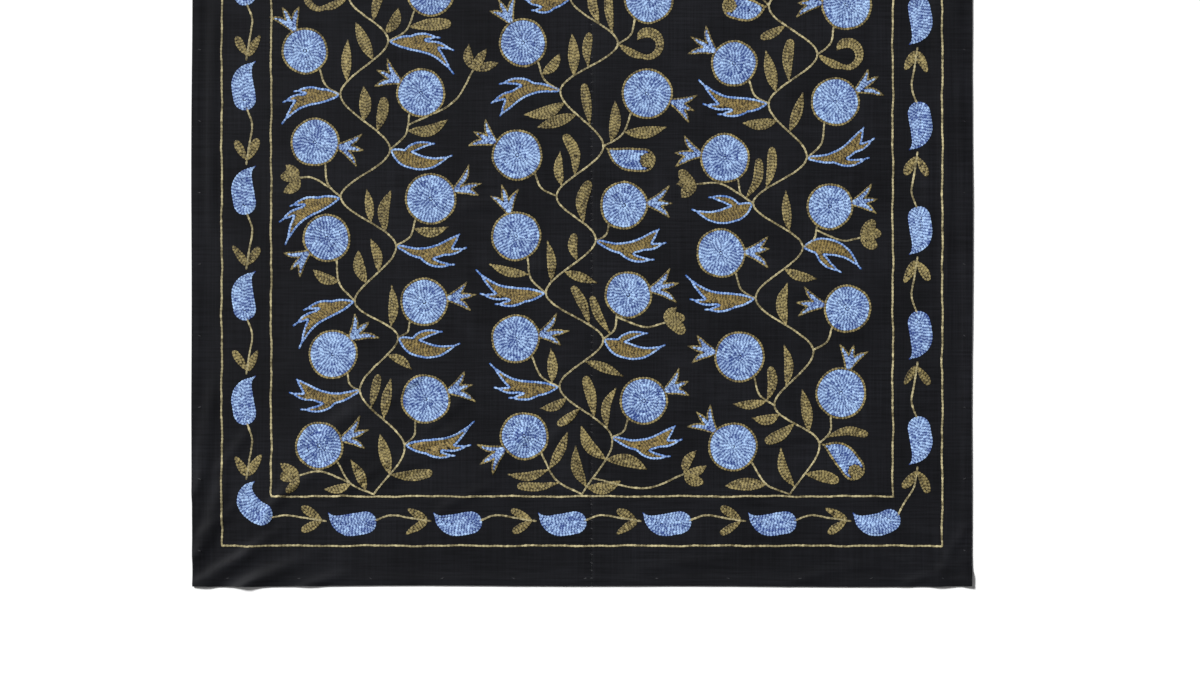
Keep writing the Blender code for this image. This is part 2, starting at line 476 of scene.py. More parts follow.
def evened(points, step):
    """The same path with points at an even step."""
    reach = np.concatenate([[0.0], np.cumsum(np.hypot(*np.diff(points, axis=0).T))])
    marks = np.linspace(0.0, reach[-1], max(2, round(reach[-1] / step) + 1))
    return np.column_stack([np.interp(marks, reach, points[:, axis]) for axis in (0, 1)])


def smooth_path(points, step=0.001):
    """A smooth curve through the points, in metres on the cloth."""
    given = on_cloth(points)
    if len(given) == 2:
        return evened(given, step)
    before = np.vstack([2 * given[0] - given[1], given[:-2]])
    tangents = np.vstack([
        given[1] - given[0], (given[2:] - given[:-2]) / 2, given[-1] - given[-2]
    ])
    share = np.linspace(0.0, 1.0, 16, endpoint=False)[:, None]
    spans = []
    for start, end, leave, arrive in zip(given[:-1], given[1:], tangents[:-1], tangents[1:]):
        spans.append(
            (2 * share**3 - 3 * share**2 + 1) * start + (share**3 - 2 * share**2 + share) * leave
            + (3 * share**2 - 2 * share**3) * end + (share**3 - share**2) * arrive
        )
    return evened(np.vstack(spans + [given[-1:]]), step)


def blade_discs(blade):
    """Centres and radii of the row of discs that fills a blade."""
    path = smooth_path(blade.path)
    half = blade.width * CM / 2
    length = np.hypot(*np.diff(path, axis=0).T).sum()
    form = blade.form
    first = min(form.base * half, length * 0.4)
    last = max(length - form.tip * half, length * 0.6)
    count = max(2, round((last - first) / DISC_STEP) + 1)
    at = np.linspace(first, last, count)
    reach = np.linspace(0.0, length, len(path))
    t = np.linspace(0.0, 1.0, count)
    rise = np.sin(np.minimum(t / form.peak, 1.0) * math.pi / 2) ** form.swell
    fall = np.cos(np.clip((t - form.peak) / (1 - form.peak), 0.0, 1.0) * math.pi / 2)
    fall = np.maximum(fall, 0.0) ** form.thin
    rising = form.base + (1 - form.base) * rise
    falling = form.tip + (1 - form.tip) * fall
    radius = half * np.where(t < form.peak, rising, falling)
    return np.column_stack([np.interp(at, reach, path[:, 0]), np.interp(at, reach, path[:, 1]), radius])


def shape_field(discs):
    """The distance outside the discs' outline (less than zero inside it) on a square grid round them."""
    margin = 3 * GRAIN
    low = (discs[:, :2] - discs[:, 2:]).min(axis=0) - margin
    high = (discs[:, :2] + discs[:, 2:]).max(axis=0) + margin
    x = np.arange(low[0], high[0] + GRAIN, GRAIN)
    y = np.arange(low[1], high[1] + GRAIN, GRAIN)
    field = np.full((len(y), len(x)), 1.0)
    for centre_x, centre_y, radius in discs:
        apart = np.hypot(x[None, :] - centre_x, y[:, None] - centre_y) - radius
        np.minimum(field, apart, out=field)
    return x, y, field


def crossings(x, y, field, level):
    """Points where the grid's edges cross the level, and which two of them each triangle joins."""
    columns = len(x)
    nodes = np.arange(field.size).reshape(field.shape)
    above = (field > level).ravel()
    value = field.ravel() - level
    steps = (1, columns, columns + 1)  # an edge goes right, up or to the far corner of its cell
    corner = nodes[:-1, :-1].ravel()
    places = {}
    sides = []
    for kind, step in enumerate(steps):
        start = nodes[:, :-1].ravel() if kind == 0 else nodes[:-1, :].ravel()
        if kind == 2:
            start = corner
        start = start[above[start] != above[start + step]]
        share = value[start] / (value[start] - value[start + step])
        end = start + step
        px = x[start % columns] * (1 - share) + x[end % columns] * share
        py = y[start // columns] * (1 - share) + y[end // columns] * share
        places.update(zip((3 * start + kind).tolist(), zip(px.tolist(), py.tolist())))
    far = corner + columns + 1
    for edges in (
        (3 * corner, 3 * (corner + 1) + 1, 3 * corner + 2),
        (3 * corner + 1, 3 * (corner + columns), 3 * corner + 2),
    ):
        middle = corner + 1 if edges[1][0] % 3 == 1 else corner + columns
        cuts = np.column_stack([
            above[corner] != above[middle], above[middle] != above[far], above[corner] != above[far]
        ])
        crossed = cuts.any(axis=1)
        ids = np.column_stack(edges)[crossed]
        sides.append(ids[cuts[crossed]].reshape(-1, 2))
    return places, np.vstack(sides)


def traced(places, sides):
    """The closed loops that the crossings make when each is joined to its neighbours."""
    beside = defaultdict(list)
    for one, other in sides.tolist():
        beside[one].append(other)
        beside[other].append(one)
    loops = []
    while beside:
        start, (here, _) = beside.popitem()
        chain = [start]
        before = start
        while here != start:
            chain.append(here)
            one, other = beside.pop(here)
            before, here = here, (other if one == before else one)
        loops.append(np.array([places[crossing] for crossing in chain]))
    return loops


def rows_deep(discs, x, y, field, spacing):
    """How many rows deep each disc's centre lies, past the row along the outline."""
    column = np.clip(((discs[:, 0] - x[0]) / GRAIN).round().astype(int), 0, len(x) - 1)
    line = np.clip(((discs[:, 1] - y[0]) / GRAIN).round().astype(int), 0, len(y) - 1)
    return -field[line, column] / spacing - 0.5


def stretches(discs, wanted):
    """The stretches of a blade's midline where wanted is true."""
    ends = np.flatnonzero(np.diff(np.concatenate([[False], wanted, [False]]).astype(int)))
    return [discs[first:last, :2] for first, last in zip(ends[::2], ends[1::2]) if last - first > 2]


def bare_spots(x, y, field, rows, spacing):
    """Single stitches for the places inside the outline that no row comes near."""
    line, column = np.nonzero(field < -0.7 * spacing)
    spots = np.column_stack([x[column], y[line]])
    sewn = np.vstack([row.path for row in rows])
    way = np.vstack([np.gradient(row.path, axis=0) for row in rows])
    if not len(spots):
        return []
    apart = np.hypot(spots[:, :1] - sewn[:, 0], spots[:, 1:] - sewn[:, 1])
    nearest = apart.argmin(axis=1)
    bare = apart.min(axis=1)
    found = []
    while bare.max() > BARE_SPOT * spacing:
        worst = bare.argmax()
        half = way[nearest[worst]] / max(np.hypot(*way[nearest[worst]]), 1e-6) * spacing * 0.6
        found.append(np.array([spots[worst] - half, spots[worst] + half]))
        for place in (spots[worst] - half, spots[worst], spots[worst] + half):
            bare = np.minimum(bare, np.hypot(*(spots - place).T))
    return found


def filled_rows(motif, outline, fill, tone, spacing, rng):
    """Rows that follow the outline of a motif and then fill it, one inside the other."""
    blades = [blade_discs(blade) for blade in blades_of(motif)]
    x, y, field = shape_field(np.vstack(blades))
    deepest = -field.min()
    count = max(1, math.ceil(deepest / spacing - 0.3))
    even_spacing = deepest / count
    share = min(max(even_spacing / spacing, 0.8), 1.15)
    rows = []
    for k in range(count):
        thread, width = (outline, min(share, 1.0) * OUTLINE_SHARE) if k == 0 else (fill, share)
        for loop in traced(*crossings(x, y, field, -(k + 0.5) * even_spacing)):
            if np.hypot(*np.diff(loop, axis=0).T).sum() > SHORTEST_ROW:
                rows.append(Row(loop, True, thread, tone + rng.uniform(-0.04, 0.04), width))
            else:
                far = loop[np.argmax(np.hypot(*(loop - loop[0]).T))]
                rows.append(Row(np.array([loop[0], far]), False, thread, tone, width))
    for discs in blades:
        deep = rows_deep(discs, x, y, field, even_spacing)
        for path in stretches(discs, (deep > 0.0) & (deep % 1.0 > BARE_STRIP)):
            rows.append(Row(path, False, fill, tone, share))
        for path in stretches(discs, (deep > THIN_TIP - 0.5) & (deep < 0.4)):
            rows.append(Row(path, False, outline, tone, TIP_SHARE))
    for path in bare_spots(x, y, field, rows, even_spacing):
        rows.append(Row(path, False, fill, tone, share))
    return rows


Stitches = namedtuple("Stitches", "start end width tone")


def stitched(row, pitch, width, rng):
    """The start and end of every chain stitch in a row."""
    points = np.vstack([row.path, row.path[:1]]) if row.closed else row.path
    reach = np.concatenate([[0.0], np.cumsum(np.hypot(*np.diff(points, axis=0).T))])
    count = max(1, round(reach[-1] / pitch))
    marks = np.arange(count + 1, dtype=float)
    marks[1:-1] += rng.uniform(-0.16, 0.16, count - 1)
    marks *= reach[-1] / count
    at = np.column_stack([np.interp(marks, reach, points[:, axis]) for axis in (0, 1)])
    at[1:-1] += rng.normal(0.0, 0.00018, (count - 1, 2))
    tone = row.tone + rng.normal(0.0, 0.20, count) + 0.05 * np.sin(marks[:-1] / 0.021 + rng.uniform(0, 6))
    return Stitches(at[:-1], at[1:], np.full(count, width * row.share), np.clip(tone, 0.0, 1.0))


def joined(parts):
    return Stitches(*(np.concatenate(values) for values in zip(*parts)))


def kept(stitches, keep):
    return Stitches(*(values[keep] for values in stitches))


Garden = namedtuple("Garden", "fruits stems leaves plumes buds tendrils")


class Ground:
    """What lies on the field so far, as discs, and the room that is left."""

    def __init__(self):
        self.discs = np.empty((0, 3))

    def take(self, spots):
        self.discs = np.vstack([self.discs, spots])

    def gaps(self, spots):
        """The clear distance round each spot, to the frame and to all that is drawn."""
        x, y, radius = spots.T
        frame_gap = np.minimum(FIELD_SIDE - np.abs(x), np.minimum(y - FIELD_FOOT, FIELD_HEAD - y))
        apart = np.hypot(x[:, None] - self.discs[:, 0], y[:, None] - self.discs[:, 1])
        return np.minimum(frame_gap, (apart - self.discs[:, 2]).min(axis=1)) - radius

    def place_first(self, choices, least):
        """The first of the motifs that keeps clear of all else past its base, or None."""
        for motif in choices:
            if self.gaps(spots_of(motif, BASE_SHARE)).min() > least:
                self.take(spots_of(motif, 0.0))
                return motif
        return None


def spots_of(motif, skip):
    """Discs along a motif's midlines, leaving out the share skip at each base."""
    spots = []
    for blade in blades_of(motif):
        path = drawn(smooth_path(blade.path))
        at = np.linspace(skip * (len(path) - 1), len(path) - 1, 9).astype(int)
        spots.append(np.column_stack([path[at], np.full(len(at), 0.36 * blade.width)]))
    return np.vstack(spots)


def grower(spot, heading, mirror=1, size=1.0):
    """A function that puts a motif's own points on the drawing, grown from the spot."""
    turn = math.radians(heading)

    def place(point):
        along, aside = point[0] * size, point[1] * size * mirror
        return (
            spot[0] + along * math.cos(turn) - aside * math.sin(turn),
            spot[1] + along * math.sin(turn) + aside * math.cos(turn),
        )

    return place


def leaf(spot, heading, length, rng):
    """A narrow leaf that bends a little to one side."""
    bend = rng.uniform(-0.14, 0.14) * length
    form = POINTED if rng.uniform() < 0.7 else CLUB
    place = grower(spot, heading)
    path = tuple(place(point) for point in ((0.0, 0.0), (0.5 * length, bend), (length, 0.0)))
    return (Blade(rng.uniform(1.4, 2.0), form, path),)


def crown_motif(fruit, rng):
    """Three narrow petals that fan out from one neck where the flower was."""
    place = grower((fruit.x, fruit.y), fruit.crown)
    petals = []
    for side in (-1, 0, 1):
        turn = math.radians(side * CROWN_SPREAD + rng.uniform(-6, 6))
        bend = turn - side * math.radians(9.0)
        length = CROWN_PETAL * rng.uniform(0.90, 1.10)
        middle = (fruit.radius + 0.5 * length * math.cos(bend), 0.5 * length * math.sin(bend))
        tip = (fruit.radius + length * math.cos(turn), length * math.sin(turn))
        petals.append(Blade(1.05, PETAL, tuple(map(place, ((fruit.radius - 0.5, 0.0), middle, tip)))))
    return tuple(petals)


def vine_bends(vine_x, rng):
    """The bends of one vine from its foot up, and the fruit that hangs in the hollow of each."""
    rise = (FIELD_HEAD - FIELD_FOOT) / (LEVELS + 1)
    first = rng.uniform(-0.8, 0.8)
    wander = rng.uniform(0.0, 6.0)
    bends = [(vine_x, FIELD_FOOT + 0.3)]
    fruits = []
    for level in range(LEVELS):
        side = 1 if level % 2 else -1
        x = vine_x + 1.2 * math.sin(0.6 * level + wander)
        y = FIELD_FOOT + (level + 1) * rise + first
        stray = rng.uniform(-STRAY, STRAY, 4)
        bends.append((x - side * SWAY + 0.6 * stray[0], y + 0.6 * stray[1]))
        aside = min(abs(x + side * FRUIT_ASIDE + stray[2]), FIELD_SIDE - 5.2)
        fruit_x = math.copysign(aside, x + side * FRUIT_ASIDE)
        fruits.append(Fruit(fruit_x, y + stray[3], rng.uniform(*FRUIT_RADIUS), 0.0))
    return bends, fruits


def stem_spots(stem):
    path = drawn(smooth_path(stem))[::8]
    return np.column_stack([path, np.full(len(path), 0.25)])


def facing_room(fruit, stem, ground, rng):
    """The fruit with its crown turned to where there is most room, away from its stem."""
    toward = math.degrees(math.atan2(fruit.y - stem[1][1], fruit.x - stem[1][0]))
    best = None
    for turn in (0, -25, 25, -50, 50, -80, 80, -110, 110):
        tried = fruit._replace(crown=toward + turn + rng.uniform(-8, 8))
        gap = ground.gaps(spots_of(crown_motif(tried, rng), BASE_SHARE)).min() - abs(turn) * 0.006
        if best is None or gap > best[0]:
            best = (gap, tried)
    return best[1]


def choices_for(motif, spot, headings, sizes, rng):
    """The motif at the spot, larger ones first, in each heading and both ways round."""
    order = rng.permutation(headings)
    return [
        moved(motif, grower(spot, heading, mirror, size))
        for size in sizes for heading in order for mirror in (1, -1)
    ]


def grow_side_motif(spot, outward, ground, rng, found):
    """A plume, scroll or bud that grows out of a bend of the vine."""
    downward = -1 if outward == 0.0 else 1  # the fruit's own stem leaves the same bend upward
    headings = outward + downward * np.array(SIDE_LEANS)
    if rng.uniform() < BUD_CHANCE:
        for size in MOTIF_SIZES[1:]:
            for heading in rng.permutation(headings):
                place = grower(spot, heading, 1 if rng.uniform() < 0.5 else -1, size)
                body = moved(BUD.body, place)
                if ground.place_first([body], MOTIF_GAP):
                    found.buds.append(Bud(body[0], (*place(BUD.cap[:2]), BUD.cap[2])))
                    return
    kinds = [(PLUMES, found.plumes), (SCROLLS, found.leaves)]
    for motifs, kept_in in kinds if rng.uniform() < PLUME_CHANCE else kinds[::-1]:
        motif = motifs[rng.integers(len(motifs))]
        placed = ground.place_first(choices_for(motif, spot, headings, MOTIF_SIZES, rng), MOTIF_GAP)
        if placed:
            kept_in.append(placed)
            return


def grow_leaves(stem, ground, rng, found):
    """Leaves along both sides of a stem, wherever there is room for one."""
    path = drawn(smooth_path(stem))
    way = np.gradient(path, axis=0)
    for count, at in enumerate(np.arange(LEAF_STEP * 5, len(path) - 6, LEAF_STEP * 10).astype(int)):
        along = math.degrees(math.atan2(way[at][1], way[at][0]))
        for side in (1, -1) if count % 2 else (-1, 1):
            lean = rng.uniform(34, 62)
            choices = [
                leaf(path[at], along + side * (lean + more), length, rng)
                for length in LEAF_LENGTHS for more in (0, 18)
            ]
            placed = ground.place_first(choices, LEAF_GAP)
            if placed:
                found.leaves.append(placed)


def route_to(spot, roots, ground):
    """A bowed stem to the spot from whichever root has the clearest way to it."""
    apart = np.hypot(*(roots - spot).T)
    best = None
    for root in roots[np.argsort(apart)[:60:6]]:
        middle = (root + spot) / 2 + 0.14 * np.array([spot[1] - root[1], root[0] - spot[0]])
        stem = tuple(map(tuple, (root, middle, spot)))
        spots = stem_spots(stem)
        gap = ground.gaps(spots[len(spots) // 3:]).min() - 0.05 * math.dist(root, spot)
        if best is None or gap > best[0]:
            best = (gap, stem)
    return best[1]


def fill_bare_places(ground, rng, found):
    """Grows a side stem with a flower, a tendril or a spray of leaves into each place left bare."""
    across = np.arange(1.0 - FIELD_SIDE, FIELD_SIDE, 1.0)
    x, y = np.meshgrid(across, np.arange(FIELD_FOOT + 1.0, FIELD_HEAD, 1.0))
    grid = np.column_stack([x.ravel(), y.ravel(), np.zeros(x.size)])
    open_to = ground.gaps(grid)
    while open_to.max() > BARE_PLACE:
        spot = grid[open_to.argmax(), :2]
        room = open_to.max()
        roots = np.vstack([drawn(smooth_path(stem))[::6] for stem in found.stems])
        stem = route_to(spot, roots, ground)
        toward = math.degrees(math.atan2(stem[2][1] - stem[1][1], stem[2][0] - stem[1][0]))
        start = grower(spot, toward)((-0.5 * room, 0.0))
        found.stems.append((stem[0], stem[1], start))
        if room > 4.4 and rng.uniform() < 0.5:
            found.leaves.append(moved(FLOWER, grower(start, toward, 1, 0.9)))
        elif rng.uniform() < 0.35:
            mirror = 1 if rng.uniform() < 0.5 else -1
            place = grower(start, toward, mirror, 0.8)
            stem_points = tuple(place(point) for point in TENDRIL.stem)
            middle = place((TENDRIL.x, TENDRIL.y))
            found.tendrils.append(Tendril(stem_points, *middle, TENDRIL.turns * mirror))
        else:
            for side in (-1, 0, 1):
                found.leaves.append(leaf(start, toward + side * 42, room * rng.uniform(1.0, 1.3), rng))
        ground.take(np.array([[*spot, 0.72 * room]]))
        ground.take(stem_spots(found.stems[-1]))
        near = np.hypot(*(grid[:, :2] - spot).T) < 22.0  # nothing farther off has less room now
        open_to[near] = ground.gaps(grid[near])


@functools.lru_cache(maxsize=1)
def garden():
    """The whole field, grown by rule: vines, fruits in their hollows, and what fills the rest."""
    rng = np.random.default_rng(SEED + 6)
    ground = Ground()
    found = Garden([], [], [], [], [], [])
    vines = [vine_bends(vine_x, rng) for vine_x in VINES]
    stalks = []
    for bends, fruits in vines:
        found.stems.append(tuple(bends))
        for below, fruit in zip(bends, fruits):
            ground.take(np.array([[fruit.x, fruit.y, fruit.radius]]))
            way = np.array([fruit.x - below[0], fruit.y - below[1]])
            reach = np.hypot(*way)
            end = np.array([fruit.x, fruit.y]) - way / reach * fruit.radius
            bow = math.copysign(0.10, way[0]) * np.array([way[1], -way[0]])
            stalks.append((fruit, (below, tuple((below + end) / 2 + bow), tuple(end))))
    found.stems.extend(stalk for _, stalk in stalks)
    for stem in found.stems:
        ground.take(stem_spots(stem))
    for bends, fruits in vines:
        for bend, fruit in zip(bends[1:], fruits):
            grow_side_motif(bend, 180.0 if fruit.x > bend[0] else 0.0, ground, rng, found)
    for fruit, stalk in stalks:
        facing = facing_room(fruit, stalk, ground, rng)
        ground.take(spots_of(crown_motif(facing, rng), BASE_SHARE))
        found.fruits.append(facing)
    for stem in tuple(found.stems):
        grow_leaves(stem, ground, rng, found)
    fill_bare_places(ground, rng, found)
    return found


def clear_of_discs(stitches, discs, margin):
    """Leaves out stitches whose middle lies in one of the discs or within the margin of it."""
    middle = (stitches.start + stitches.end) / 2
    clear = np.ones(len(middle), dtype=bool)
    for centre_x, centre_y, radius in discs:
        clear &= np.hypot(middle[:, 0] - centre_x, middle[:, 1] - centre_y) > radius + margin
    return kept(stitches, clear)


def clear_of_fruits(stitches, margin):
    discs = [(*on_cloth((fruit.x, fruit.y)), fruit.radius * CM) for fruit in garden().fruits]
    return clear_of_discs(stitches, discs, margin)


# ---------------------------------------------------------------------------------------------
# Node trees
# ---------------------------------------------------------------------------------------------
def add_node(tree, kind, inputs=(), **settings):
    """A new node with its settings, and inputs given as (socket, value or output) pairs."""
    node = tree.nodes.new(kind)
    for name, value in settings.items():
        setattr(node, name, value)
    for socket, value in inputs:
        if isinstance(value, bpy.types.NodeSocket):
            tree.links.new(value, node.inputs[socket])
        else:
            node.inputs[socket].default_value = value
    return node


def calculate(tree, operation, *values):
    node = add_node(tree, "ShaderNodeMath", enumerate(values), operation=operation)
    return node.outputs[0]


def add_socket(tree, name, kind, default=None, output=False):
    socket = tree.interface.new_socket(
        name, in_out="OUTPUT" if output else "INPUT", socket_type="NodeSocket" + kind
    )
    if default is not None:
        socket.default_value = default
    return socket


def chain_stitch_tree():
    """Geometry Nodes: one chain link, of two bowed strands, on each stitch point of a mesh."""
    tree = bpy.data.node_groups.new("Chain Stitches", "GeometryNodeTree")
    add_socket(tree, "Stitch Points", "Geometry")
    add_socket(tree, "Bends per Strand", "Int", 2)
    add_socket(tree, "Loop Opening", "Float", 0.13)
    add_socket(tree, "Strand Share", "Float", 0.58)
    add_socket(tree, "Unevenness", "Float", 0.12)
    add_socket(tree, "Seed", "Int", SEED)
    add_socket(tree, "Thread", "Material")
    add_socket(tree, "Stitches", "Geometry", output=True)
    given = add_node(tree, "NodeGroupInput").outputs

    # A strand starts as a flat strip that is 1 long and 1 wide, and is then bowed and domed.
    stations = calculate(tree, "ADD", given["Bends per Strand"], 1.0)
    strip = add_node(
        tree, "GeometryNodeMeshGrid",
        [("Size X", 1.0), ("Size Y", 1.0), ("Vertices X", stations), ("Vertices Y", 3)],
    )
    position = add_node(tree, "GeometryNodeInputPosition").outputs[0]
    spot = add_node(tree, "ShaderNodeSeparateXYZ", [(0, position)])
    along = spot.outputs["X"]
    side = spot.outputs["Y"]
    belly = calculate(tree, "MULTIPLY_ADD", calculate(tree, "MULTIPLY", along, along), -4.0, 1.0)
    dome = calculate(tree, "MULTIPLY_ADD", calculate(tree, "MULTIPLY", side, side), -4.0, 1.0)
    fullness = calculate(tree, "MULTIPLY_ADD", belly, 0.26, 0.74)
    own_width = calculate(tree, "MULTIPLY", side, given["Strand Share"])
    own_width = calculate(tree, "MULTIPLY", own_width, fullness)
    bowed = calculate(tree, "MULTIPLY", belly, given["Loop Opening"])
    spread = calculate(tree, "MULTIPLY_ADD", along, 0.10, 0.11)
    across = calculate(tree, "ADD", own_width, calculate(tree, "ADD", bowed, spread))
    ridge = calculate(tree, "SUBTRACT", fullness, calculate(tree, "MULTIPLY", along, 0.16))
    upward = calculate(tree, "MULTIPLY_ADD", dome, ridge, -0.5)
    shaped = add_node(tree, "ShaderNodeCombineXYZ", [("X", along), ("Y", across), ("Z", upward)])
    marked = strip.outputs["Mesh"]
    # along and crest let the thread shader paint shade at the ends and edges of each strand and highlight
    # along its middle and crest; along also sets the ply twist.
    to_crest = calculate(tree, "MULTIPLY_ADD", calculate(tree, "ABSOLUTE", side), -2.0, 1.0)
    for mark, value in (("along", along), ("crest", to_crest)):
        marked = add_node(
            tree, "GeometryNodeStoreNamedAttribute",
            [("Geometry", marked), ("Name", mark), ("Value", value)],
            data_type="FLOAT", domain="POINT",
        ).outputs[0]
    strand = add_node(
        tree, "GeometryNodeSetPosition", [("Geometry", marked), ("Position", shaped.outputs[0])]
    )
    other = add_node(
        tree, "GeometryNodeTransform",
        [("Geometry", strand.outputs[0]), ("Scale", (1.0, -1.0, 1.0))],
    )
    other = add_node(tree, "GeometryNodeFlipFaces", [(0, other.outputs[0])])
    link = add_node(tree, "GeometryNodeJoinGeometry", [(0, strand.outputs[0])])
    tree.links.new(other.outputs[0], link.inputs[0])
    smooth = add_node(tree, "GeometryNodeSetShadeSmooth", [(0, link.outputs[0])])

    def named(name):
        node = add_node(
            tree, "GeometryNodeInputNamedAttribute", [("Name", name)], data_type="FLOAT_VECTOR"
        )
        return node.outputs["Attribute"]

    facing = add_node(
        tree, "FunctionNodeAxesToRotation",
        [("Primary Axis", named("up")), ("Secondary Axis", named("heading"))],
        primary_axis="Z", secondary_axis="X",
    )
    vary = add_node(tree, "FunctionNodeRandomValue", [("Seed", given["Seed"])], data_type="FLOAT")
    low = calculate(tree, "SUBTRACT", 1.0, given["Unevenness"])
    high = calculate(tree, "ADD", 1.0, given["Unevenness"])
    for socket, value in (("Min", low), ("Max", high)):
        float_socket = next(s for s in vary.inputs if s.name == socket and s.type == "VALUE")
        tree.links.new(value, float_socket)
    amount = next(s for s in vary.outputs if s.type == "VALUE")
    size = add_node(tree, "ShaderNodeVectorMath", [(0, named("size"))], operation="MULTIPLY")
    factors = add_node(tree, "ShaderNodeCombineXYZ", [("X", 1.0), ("Y", amount), ("Z", amount)])
    tree.links.new(factors.outputs[0], size.inputs[1])
    placed = add_node(
        tree, "GeometryNodeInstanceOnPoints",
        [("Points", given["Stitch Points"]), ("Instance", smooth.outputs[0]),
         ("Rotation", facing.outputs[0]), ("Scale", size.outputs[0])],
    )
    real = add_node(tree, "GeometryNodeRealizeInstances", [(0, placed.outputs[0])])
    dyed = add_node(
        tree, "GeometryNodeSetMaterial", [("Geometry", real.outputs[0]), ("Material", given["Thread"])]
    )
    add_node(tree, "NodeGroupOutput", [(0, dyed.outputs[0])])
    return tree


def thread_tone_and_shade_group():
    """Shader group: a thread's colour from its random tone, with painted shade where each strand dips and
    along its edges and painted highlight along its middle and crest, and the relief of its twisted ply.
    """
    tree = bpy.data.node_groups.new("Thread Tone", "ShaderNodeTree")
    add_socket(tree, "Dark", "Color", (0.1, 0.1, 0.1, 1.0))
    add_socket(tree, "Light", "Color", (0.6, 0.6, 0.6, 1.0))
    add_socket(tree, "Fleck Scale", "Float", 620.0)
    add_socket(tree, "Dip Shade", "Float", 0.95)
    add_socket(tree, "Edge Shade", "Float", 0.85)
    add_socket(tree, "Color", "Color", output=True)
    add_socket(tree, "Ply", "Float", output=True)
    given = add_node(tree, "NodeGroupInput").outputs
    tone = add_node(tree, "ShaderNodeAttribute", attribute_name="tone").outputs["Fac"]
    along = add_node(tree, "ShaderNodeAttribute", attribute_name="along").outputs["Fac"]
    crest = add_node(tree, "ShaderNodeAttribute", attribute_name="crest").outputs["Fac"]
    place = add_node(tree, "ShaderNodeTexCoord").outputs["Object"]
    fleck = add_node(
        tree, "ShaderNodeTexNoise",
        [("Vector", place), ("Scale", given["Fleck Scale"]), ("Detail", 1.0)],
    ).outputs["Fac"]
    patch = add_node(
        tree, "ShaderNodeTexNoise", [("Vector", place), ("Scale", 26.0), ("Detail", 1.0)]
    ).outputs["Fac"]
    # Painted shade towards both ends of each strand, where it dips into the cloth, and painted highlight at
    # its middle.
    middle = calculate(tree, "MULTIPLY_ADD", calculate(tree, "ABSOLUTE", along), -2.0, 1.0)
    dip_shade = calculate(tree, "MULTIPLY", calculate(tree, "SUBTRACT", middle, 0.70), given["Dip Shade"])
    # Painted shade along the edges of each strand and painted highlight along its crest.
    edge = calculate(tree, "MULTIPLY", calculate(tree, "SUBTRACT", crest, 0.72), given["Edge Shade"])
    grain = calculate(tree, "MULTIPLY_ADD", fleck, 0.5, -0.25)
    batch = calculate(tree, "MULTIPLY_ADD", patch, 0.2, -0.1)
    total = tone
    for part in (dip_shade, edge, grain, batch):
        total = calculate(tree, "ADD", total, part)
    mix = add_node(tree, "ShaderNodeMix", data_type="RGBA", clamp_factor=True)
    tree.links.new(total, mix.inputs["Factor"])
    colours = [socket for socket in mix.inputs if socket.type == "RGBA"]
    tree.links.new(given["Dark"], colours[0])
    tree.links.new(given["Light"], colours[1])
    ply = calculate(tree, "MULTIPLY_ADD", fleck, 5.0, calculate(tree, "MULTIPLY", along, 44.0))
    twist = calculate(tree, "SINE", ply)
    add_node(
        tree, "NodeGroupOutput",
        [("Color", next(s for s in mix.outputs if s.type == "RGBA")), ("Ply", twist)],
    )
    return tree


def silk_weave_group():
    """Shader group: the plain weave of hand-loomed silk, with slubs along the weft."""
    tree = bpy.data.node_groups.new("Silk Weave", "ShaderNodeTree")
    add_socket(tree, "Silk", "Color", (0.01, 0.01, 0.01, 1.0))
    add_socket(tree, "Threads per Metre", "Float", 1900.0)
    add_socket(tree, "Slub Length", "Float", 0.05)
    add_socket(tree, "Slub", "Float", 2.3)
    add_socket(tree, "Color", "Color", output=True)
    add_socket(tree, "Roughness", "Float", output=True)
    add_socket(tree, "Height", "Float", output=True)
    given = add_node(tree, "NodeGroupInput").outputs
    place = add_node(tree, "ShaderNodeTexCoord").outputs["Object"]
    spot = add_node(tree, "ShaderNodeSeparateXYZ", [(0, place)]).outputs
    turns = calculate(tree, "MULTIPLY", given["Threads per Metre"], math.pi)
    warp = calculate(tree, "SINE", calculate(tree, "MULTIPLY", spot["X"], turns))
    weft = calculate(tree, "SINE", calculate(tree, "MULTIPLY", spot["Y"], turns))
    weave = calculate(tree, "MULTIPLY", warp, weft)
    stretched = add_node(
        tree, "ShaderNodeMapping", [("Vector", place), ("Scale", (16.0, 380.0, 1.0))]
    ).outputs[0]
    slub = add_node(
        tree, "ShaderNodeTexNoise", [("Vector", stretched), ("Scale", 1.0), ("Detail", 2.0)]
    ).outputs["Fac"]
    upright = add_node(
        tree, "ShaderNodeMapping", [("Vector", place), ("Scale", (420.0, 9.0, 1.0))]
    ).outputs[0]
    reed = add_node(
        tree, "ShaderNodeTexNoise", [("Vector", upright), ("Scale", 1.0), ("Detail", 1.0)]
    ).outputs["Fac"]
    cloudy = add_node(
        tree, "ShaderNodeTexNoise", [("Vector", place), ("Scale", 9.0), ("Detail", 3.0)]
    ).outputs["Fac"]
    streaks = calculate(tree, "MULTIPLY_ADD", slub, 0.6, calculate(tree, "MULTIPLY", reed, 0.4))
    bright = calculate(tree, "MULTIPLY_ADD", calculate(tree, "SUBTRACT", streaks, 0.5), given["Slub"], 1.0)
    bright = calculate(tree, "MULTIPLY", bright, calculate(tree, "MULTIPLY_ADD", cloudy, 1.4, 0.3))
    shade = add_node(tree, "ShaderNodeVectorMath", [(0, given["Silk"])], operation="SCALE")
    tree.links.new(bright, shade.inputs["Scale"])
    rough = calculate(tree, "MULTIPLY_ADD", slub, 0.16, 0.50)
    height = calculate(tree, "MULTIPLY_ADD", weave, 0.25, calculate(tree, "MULTIPLY", streaks, 1.6))
    add_node(
        tree, "NodeGroupOutput",
        [("Color", shade.outputs[0]), ("Roughness", rough), ("Height", height)],
    )
    return tree


def tree_once(name, make):
    """The named node tree, made the first time it is asked for."""
    return bpy.data.node_groups.get(name) or make()


